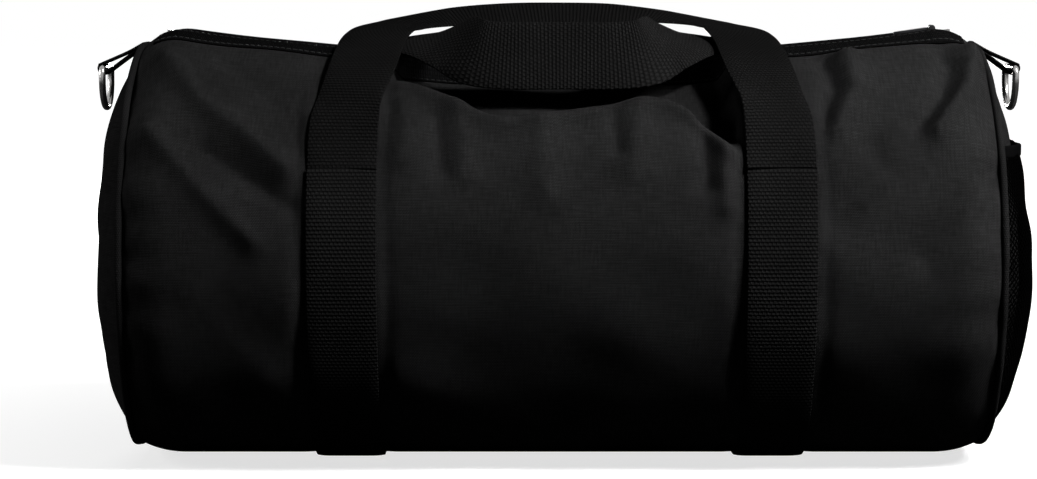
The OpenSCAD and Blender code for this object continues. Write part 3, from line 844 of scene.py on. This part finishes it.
for side, word in ENDS:
    path = along(fold, TAB_POINTS)
    centre = np.stack([side * path[:, 0], 0 * path[:, 0], path[:, 1]], -1)
    across = np.tile([0, float(side), 0], (len(centre), 1))
    tab = strip(word + "_tab", centre, across, TAB_W, TAB_T, web_black)
    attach(tab, "bag")
    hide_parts(word + "_ring_tab")
    wire = np.array([[side * bar[0], y, bar[1] + z] for y, z in d_path])
    ring = tube(word + "_ring_wire", wire, WIRE_R, nickel, WIRE_SIDES)
    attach(ring, word + "_ring")
    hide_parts(word + "_d_ring")

# Mesh pocket on the right end: a knotted net of square gaps on their corners, and its hem
POCKET_BULGE = 28.5 * MM
POCKET_RIM_IN = 2.6 * MM
POCKET_SHIFT = 0.8 * MM
NET_LOOSE = 1.1 * MM
NET_LOOSE_SCALE = 1.4
NET_LOOSE_AWAY = 0.3
NET_LOOSE_FADE = 4
NET_PITCH = 1.7 * MM
NET_WIRE = 0.9 * MM
NET_RIM = 0.999
HEM_TOP = AXIS_Z + 62 * MM
HEM_H = 7 * MM
HEM_T = 2.2 * MM
HEM_DRAW = 0.22
HEM_POINTS = 160
HEM_GATHER = 0.5 * MM
HEM_GATHER_LENGTH = 3.1 * MM
HEM_DRIFT = 2
HEM_DRIFT_LENGTH = 17 * MM
HEM_SAG = 0.8 * MM
HEM_SAG_LENGTH = 26 * MM
RIM_POINTS = 721
hem_z = HEM_TOP - HEM_H / 2
rim_a = np.linspace(-math.pi, math.pi, RIM_POINTS)
rim_line = skin(np.full_like(rim_a, HALF_L), rim_a, -POCKET_RIM_IN)
rim_turn = np.arctan2(rim_line[:, 1], rim_line[:, 2] - AXIS_Z)
rim_reach = np.hypot(rim_line[:, 1], rim_line[:, 2] - AXIS_Z)


def pocket(y, z):
    """Points of the pocket over points of the end's plane, and how near the rim they are, with 1 on it."""
    turn = np.arctan2(y, z - AXIS_Z)
    reach = np.interp(turn, rim_turn, rim_reach)
    share = np.minimum(1, np.hypot(y, z - AXIS_Z) / reach)
    loose = NET_LOOSE * swell(NET_LOOSE_SCALE * y + NET_LOOSE_AWAY, NET_LOOSE_SCALE * z)
    loose = loose * np.minimum(1, NET_LOOSE_FADE * (1 - share))
    drawn = 1 - HEM_DRAW * smooth((z - AXIS_Z) / (HEM_TOP - AXIS_Z))
    x = HALF_L + POCKET_SHIFT + POCKET_BULGE * drawn * (1 - share**BULGE_CURVE) + loose
    return np.stack([x, share * reach * np.sin(turn), AXIS_Z + share * reach * np.cos(turn)], -1), share


columns = int(BARREL_R / NET_PITCH) + 2
rows_down = int(hem_z / NET_PITCH) + 2
knots = {}
net_points = []
net_faces = []


def knot(i, j):
    """Number of a knot's point, made when first asked for, and its share of the way to the rim."""
    if (i, j) not in knots:
        point, share = pocket(np.array(i * NET_PITCH), np.array(hem_z - j * NET_PITCH))
        knots[i, j] = len(net_points), float(share)
        net_points.append(point)
    return knots[i, j]


for j in range(1, rows_down):
    for i in range(-columns, columns + 1):
        if (i + j) % 2:
            continue
        cell = [knot(i - 1, j), knot(i, j - 1), knot(i + 1, j), knot(i, j + 1)]
        if sum(share < NET_RIM for _, share in cell) >= 2:
            net_faces.append([number for number, _ in cell])
used = sorted({v for face in net_faces for v in face})
order = {v: k for k, v in enumerate(used)}
net_faces = [[order[v] for v in face] for face in net_faces]
net = build("pocket_net", [net_points[v] for v in used], net_faces, None, net_black)
wires = net.modifiers.new("net", "WIREFRAME")
wires.thickness = NET_WIRE
wires.use_even_offset = False
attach(net, "bag")
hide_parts("mesh_pocket")

right_rim = rim_line[RIM_POINTS // 2:]
hem_reach = np.interp(AXIS_Z - hem_z, AXIS_Z - right_rim[:, 2], right_rim[:, 1])
hem_y = np.linspace(-1, 1, HEM_POINTS) * hem_reach
hem_line, _ = pocket(hem_y, np.full_like(hem_y, hem_z))
gather = np.sin(hem_y / HEM_GATHER_LENGTH + HEM_DRIFT * np.sin(hem_y / HEM_DRIFT_LENGTH))
hem_line[:, 0] += HEM_GATHER + HEM_GATHER * gather
hem_line[:, 2] += HEM_SAG * np.sin(hem_y / HEM_SAG_LENGTH)
hem = strip("net_hem", hem_line, np.tile([0, 0, 1.0], (len(hem_y), 1)), HEM_H, HEM_T, hem_black)
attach(hem, "bag")
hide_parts("pocket_hem")

# Zip: tapes, coil teeth, facings with their stitch rows, and the patches past its ends
ZIP_HALF = 229 * MM
TAPE_DROP = 5.4 * MM
TAPE_T = 0.8 * MM
TAPE_W = 13 * MM
TAPE_GAP = 0.6 * MM
TAPE_STATIONS = 153
TAPE_ROWS = 6
COIL_PITCH = 1.5 * MM
TOOTH_L = 4.2 * MM
TOOTH_R = 0.62 * MM
TOOTH_Y = 1.5 * MM
TOOTH_UP = 0.75 * MM
TOOTH_WAY = [0.12, 1, 0]
FACING_HALF = 231 * MM
FACING_W = 33 * MM
FACING_T = 0.9 * MM
FACING_IN = 0.8 * MM
FACING_GAP = 0.05 * MM
FACING_STATIONS = 181
FACING_ROWS = 16
STITCH_PITCH = 3.4 * MM
STITCH_L = 2.6 * MM
STITCH_R = 0.33 * MM
STITCH_UP = 0.1 * MM
STITCH_END = 2 * MM
STITCH_ROWS = (("inner", SEAM_AT), ("outer", FACING_W - 3 * MM))
PATCH_HALF = 14 * MM
PATCH_L = 11 * MM
PATCH_PAST = 1 * MM
PATCH_UP = 0.5 * MM
PATCH_DOWN = 0.8 * MM
PATCH_STATIONS = 12
PATCH_ROWS = 25


def zip_height(x, drop):
    """Height of a line along the zip, a drop below the arc of the crest."""
    return ARC_Z - np.sqrt((ARC_R + drop) ** 2 - x * x)


def zip_tape(side, word):
    x = side * np.linspace(-ZIP_HALF, ZIP_HALF, TAPE_STATIONS)
    x, y = np.meshgrid(x, side * np.linspace(TAPE_GAP, TAPE_W, TAPE_ROWS), indexing="ij")
    outer = np.stack([x, y, zip_height(x, TAPE_DROP)], -1)
    inner = np.stack([x, y, zip_height(x, TAPE_DROP + TAPE_T)], -1)
    tape = sheet_mesh(word + "_tape", outer, inner, np.stack([x, y], -1), tape_black)
    weigh(tape)
    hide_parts(word + "_zip_tape")


def zip_teeth(side, word):
    """Teeth of one coil; the other coil's lie half a pitch further on."""
    x = np.arange(-ZIP_HALF + COIL_PITCH, ZIP_HALF - COIL_PITCH, COIL_PITCH) + (side + 1) * COIL_PITCH / 4
    centres = np.stack([x, np.full_like(x, side * TOOTH_Y), zip_height(x, TAPE_DROP - TOOTH_UP)], -1)
    runs = np.tile(TOOTH_WAY, (len(x), 1))
    normals = np.tile([0, 0, 1.0], (len(x), 1))
    teeth, per = rods(word + "_teeth", centres, runs, normals, TOOTH_L, TOOTH_R, coil_black)
    weigh(teeth)
    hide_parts(word + "_zip_coil", *(["left_zip_end", "right_zip_end"] if side < 0 else []))


def zip_facing(side, word):
    x = side * np.linspace(-FACING_HALF, FACING_HALF, FACING_STATIONS)
    a = side * (SLIT_A + np.linspace(FACING_IN, FACING_W, FACING_ROWS) / BARREL_R)
    x, a = np.meshgrid(x, a, indexing="ij")
    out = cloth_relief(x, a)
    uv = np.stack([x, a * BARREL_R], -1)
    outer, inner = skin(x, a, out + FACING_T), skin(x, a, out + FACING_GAP)
    facing = sheet_mesh(word + "_zip_facing", outer, inner, uv, facing_black)
    weigh(facing)


def stitch_row(side, word, row, from_slit):
    x = np.arange(-FACING_HALF + STITCH_END, FACING_HALF - STITCH_END, STITCH_PITCH)
    a = np.full_like(x, side * (SLIT_A + from_slit / BARREL_R))
    line = skin(x, a, cloth_relief(x, a) + FACING_T + STITCH_UP)
    normals = skin(x, a, 1 * MM) - skin(x, a, 0)
    runs = np.gradient(line, axis=0)
    seam, per = rods(f"{word}_{row}_stitches", line, runs, normals, STITCH_L, STITCH_R, thread_black)
    weigh(seam)


def zip_patch(side, word):
    x = side * (HALF_L + PATCH_PAST + np.linspace(-PATCH_L, 0, PATCH_STATIONS)[::side])
    x, a = np.meshgrid(x, np.linspace(-PATCH_HALF, PATCH_HALF, PATCH_ROWS) / BARREL_R, indexing="ij")
    uv = np.stack([x, a * BARREL_R], -1)
    patch = sheet_mesh(word + "_patch", skin(x, a, PATCH_UP), skin(x, a, -PATCH_DOWN), uv, cloth_black)
    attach(patch, "bag")
    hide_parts(word + "_top_patch")


for side, word in ((-1, "front"), (1, "back")):
    zip_tape(side, word)
    zip_teeth(side, word)
    zip_facing(side, word)
    for row, from_slit in STITCH_ROWS:
        stitch_row(side, word, row, from_slit)
for side, word in ENDS:
    zip_patch(side, word)

METAL_NODES = {
    "zip_slider": dark_metal,
    "zip_puller": dark_metal,
    "left_zip_stop": nickel,
    "right_zip_stop": nickel,
}
for name, material in METAL_NODES.items():
    node = frame["nodes"][name]
    node.data.materials.clear()
    node.data.materials.append(material)

# Floor: it glows pale to the camera, a little less near the bag, and bounces little light
FLOOR_X = 6
FLOOR_FRONT, FLOOR_BACK = -4, 8
FLOOR_SEEN = 0.42
FLOOR_BOUNCE = 0.03
NEAR_X, NEAR_Y = 0.42, 0.35
NEAR_SHARE, FAR_SHARE = 0.6, 2.2
NEAR_GLOW, FAR_GLOW = 0.72, 1.05


def floor_material():
    material = bpy.data.materials.new("pale_floor")
    material.use_nodes = True
    tree = material.node_tree
    tree.nodes.remove(tree.nodes["Principled BSDF"])
    matt = tree.nodes.new("ShaderNodeBsdfDiffuse")
    glow = tree.nodes.new("ShaderNodeEmission")
    glow.inputs["Color"].default_value = (1, 1, 1, 1)
    seen = tree.nodes.new("ShaderNodeLightPath").outputs["Is Camera Ray"]
    tone = op(tree, "ADD", op(tree, "MULTIPLY", seen, FLOOR_SEEN), FLOOR_BOUNCE)
    tree.links.new(tone, matt.inputs["Color"])
    place = tree.nodes.new("ShaderNodeNewGeometry")
    split = tree.nodes.new("ShaderNodeSeparateXYZ")
    tree.links.new(place.outputs["Position"], split.inputs[0])
    wide = op(tree, "POWER", op(tree, "DIVIDE", op(tree, "ABSOLUTE", split.outputs["X"]), NEAR_X), 2.0)
    deep = op(tree, "POWER", op(tree, "DIVIDE", op(tree, "ABSOLUTE", split.outputs["Y"]), NEAR_Y), 2.0)
    away = op(tree, "SQRT", op(tree, "ADD", wide, deep))
    level = span(tree, away, NEAR_SHARE, FAR_SHARE, NEAR_GLOW, FAR_GLOW).outputs["Result"]
    tree.links.new(op(tree, "MULTIPLY", seen, level), glow.inputs["Strength"])
    both = tree.nodes.new("ShaderNodeAddShader")
    tree.links.new(matt.outputs[0], both.inputs[0])
    tree.links.new(glow.outputs[0], both.inputs[1])
    tree.links.new(both.outputs[0], tree.nodes["Material Output"].inputs["Surface"])
    return material


floor_front = [(-FLOOR_X, FLOOR_FRONT, 0), (FLOOR_X, FLOOR_FRONT, 0)]
floor_back = [(FLOOR_X, FLOOR_BACK, 0), (-FLOOR_X, FLOOR_BACK, 0)]
floor = build("floor", floor_front + floor_back, [[0, 1, 2, 3]], material=floor_material())

# Light: a weak white world that looks white to the camera, and four lamps
WORLD_LIGHT = 0.006
WORLD_MIRRORED = 0.5
scene = bpy.context.scene
scene.world = bpy.data.worlds.new("studio")
scene.world.use_nodes = True
tree = scene.world.node_tree
sky = tree.nodes["Background"]
sky.inputs["Color"].default_value = (1, 1, 1, 1)
rays = tree.nodes.new("ShaderNodeLightPath")
seen = op(tree, "MULTIPLY", rays.outputs["Is Camera Ray"], 1.0 - WORLD_LIGHT)
mirrored = op(tree, "MULTIPLY", rays.outputs["Is Glossy Ray"], WORLD_MIRRORED)
tree.links.new(op(tree, "ADD", op(tree, "ADD", seen, mirrored), WORLD_LIGHT), sky.inputs["Strength"])


def lamp(name, place, target, size, power, spread=180):
    """Square lamp that faces a target, with its power in watts and its spread in degrees."""
    light = bpy.data.lights.new(name, "AREA")
    light.shape = "RECTANGLE"
    light.size, light.size_y = size, size
    light.energy = power
    light.spread = math.radians(spread)
    obj = bpy.data.objects.new(name, light)
    obj.location = place
    obj.rotation_euler = (Vector(target) - Vector(place)).to_track_quat("-Z", "Y").to_euler()
    scene.collection.objects.link(obj)


lamp("key", (1.2, -0.95, 1.68), (0.05, 0, 0.15), 0.3, 60)
lamp("side", (1.1, -0.6, 0.9), (0.28, -0.11, 0.19), 0.3, 0.75, 38)
lamp("rim", (-1.4, 0.0, 0.5), (-0.2, 0, 0.12), 0.5, 7)
lamp("back", (-0.3, 2.0, 0.45), (0, 0.1, 0.13), 0.5, 30)

# Camera
camera_data = bpy.data.cameras.new("camera")
camera_data.sensor_width = SENSOR_W
camera_data.lens = SENSOR_W * FOCAL_PX / PHOTO_W
camera = bpy.data.objects.new("camera", camera_data)
camera.location = Vector(cam_place)
camera.rotation_euler = Vector(cam_forward).to_track_quat("-Z", "Y").to_euler()
scene.collection.objects.link(camera)
scene.camera = camera
scene.view_settings.view_transform = "Standard"
